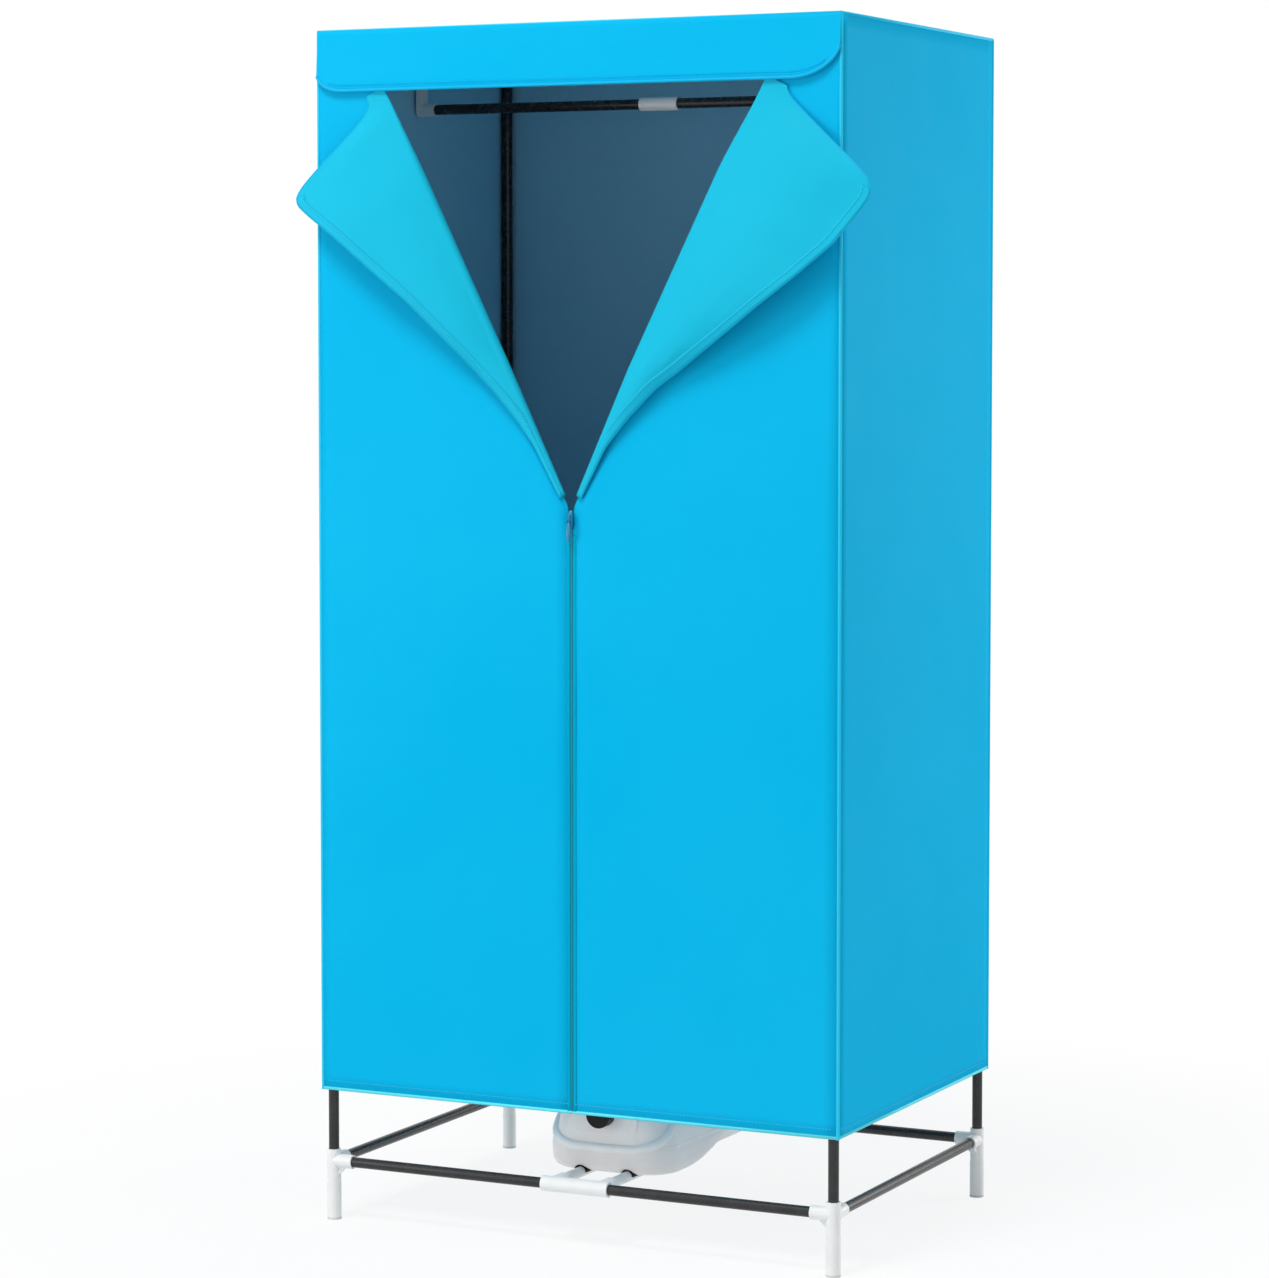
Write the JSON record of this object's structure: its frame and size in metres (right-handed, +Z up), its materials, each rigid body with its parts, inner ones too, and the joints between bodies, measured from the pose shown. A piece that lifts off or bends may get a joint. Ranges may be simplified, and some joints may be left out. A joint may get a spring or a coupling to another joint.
{
  "type": "fabric drying cabinet",
  "caption": "Upright clothes drying cabinet: cloth cover with zipped front on a tube frame, warm-air unit below, hanging rail inside.",
  "frame": {"origin": "on the floor, under the centre of the object's box", "axes": "+Z up, the zipped front faces -Y, +X to the right of somebody in front of it"},
  "size_m": [0.7538, 0.5096, 1.48],
  "materials": {
    "leg_plastic": "semi-gloss white",
    "joint_plastic": "semi-gloss white",
    "pad_rubber": "matte pale grey",
    "tube_steel": "satin black paint",
    "cover_cloth": "coated woven cloth, bright blue",
    "floor_cloth": "coated woven cloth, blue",
    "lapel_cloth": "coated woven cloth, turquoise",
    "zip_plastic": "matte blue coil",
    "zip_metal": "painted blue",
    "shell_plastic": "glossy pale grey",
    "panel_plastic": "satin pale grey",
    "black_plastic": "satin black",
    "fan_plastic": "matte dark grey",
    "motor_steel": "plain steel",
    "element_ceramic": "matte ceramic",
    "grille_plastic": "matte grey"
  },
  "bodies": {
    "cabinet": {"leg_front_left": "leg_plastic", "leg_front_right": "leg_plastic", "leg_rear_left": "leg_plastic", "leg_rear_right": "leg_plastic", "foot_pads": "pad_rubber", "base_corner_front_left": "joint_plastic", "base_corner_front_right": "joint_plastic", "base_corner_rear_left": "joint_plastic", "base_corner_rear_right": "joint_plastic", "top_corner_front_left": "joint_plastic", "top_corner_front_right": "joint_plastic", "top_corner_rear_left": "joint_plastic", "top_corner_rear_right": "joint_plastic", "base_front_connector": "joint_plastic", "base_rear_connector": "joint_plastic", "rail_bracket_left": "joint_plastic", "rail_bracket_right": "joint_plastic", "rail_connector": "joint_plastic", "upright_front_left": "tube_steel", "upright_front_right": "tube_steel", "upright_rear_left": "tube_steel", "upright_rear_right": "tube_steel", "base_front_bar_left": "tube_steel", "base_front_bar_right": "tube_steel", "base_rear_bar_left": "tube_steel", "base_rear_bar_right": "tube_steel", "base_side_bar_left": "tube_steel", "base_side_bar_right": "tube_steel", "top_front_bar": "tube_steel", "top_rear_bar": "tube_steel", "top_side_bar_left": "tube_steel", "top_side_bar_right": "tube_steel", "heater_carrier_left": "tube_steel", "heater_carrier_right": "tube_steel", "hanging_rail_left": "tube_steel", "hanging_rail_right": "tube_steel", "cover_roof": "cover_cloth", "cover_back": "cover_cloth", "cover_side_left": "cover_cloth", "cover_side_right": "cover_cloth", "cover_front_left": "cover_cloth", "cover_front_right": "cover_cloth", "cover_floor": "floor_cloth", "zip_chain": "zip_plastic", "heater_base": "shell_plastic", "heater_top": "shell_plastic", "control_panel": "panel_plastic", "timer_body": "black_plastic", "heater_feet": "black_plastic", "power_inlet": "black_plastic", "fan_motor": "motor_steel", "heating_element": "element_ceramic", "outlet_grille": "grille_plastic"},
    "lapel_left": {"lapel_left": "lapel_cloth"},
    "lapel_right": {"lapel_right": "lapel_cloth"},
    "header": {"header_flap": "cover_cloth"},
    "slider": {"zip_slider": "zip_metal"},
    "pull": {"zip_pull": "zip_metal"},
    "knob": {"timer_knob": "black_plastic"},
    "fan": {"fan_impeller": "fan_plastic"}
  },
  "joints": [
    {"name": "lapel_left_fold", "type": "hinge", "parent": "cabinet", "child": "lapel_left", "pos_m": [-0.00093, -0.2344, 0.89654], "axis": [-0.4479, 0, 0.8941], "range_deg": [0, 135]},
    {"name": "lapel_right_fold", "type": "hinge", "parent": "cabinet", "child": "lapel_right", "pos_m": [0.00093, -0.2344, 0.89654], "axis": [-0.4479, 0, -0.8941], "range_deg": [0, 135]},
    {"name": "header_lift", "type": "hinge", "parent": "cabinet", "child": "header", "pos_m": [0, -0.2359, 1.4794], "axis": [-1, 0, 0], "range_deg": [0, 170]},
    {"name": "zip_travel", "type": "slide", "parent": "cabinet", "child": "slider", "axis": [0, 0, 1], "range_m": [-0.64, 0.5]},
    {"name": "pull_swing", "type": "hinge", "parent": "slider", "child": "pull", "pos_m": [0, -0.2428, 0.8859], "axis": [-1, 0, 0], "range_deg": [0, 160]},
    {"name": "timer_turn", "type": "hinge", "parent": "cabinet", "child": "knob", "pos_m": [0, -0.1583, 0.15], "axis": [0, 1, 0], "range_deg": [0, 300]},
    {"name": "fan_spin", "type": "hinge", "parent": "cabinet", "child": "fan", "pos_m": [0, -0.033, 0.1258], "axis": [0, 0, 1], "continuous": true}
  ]
}
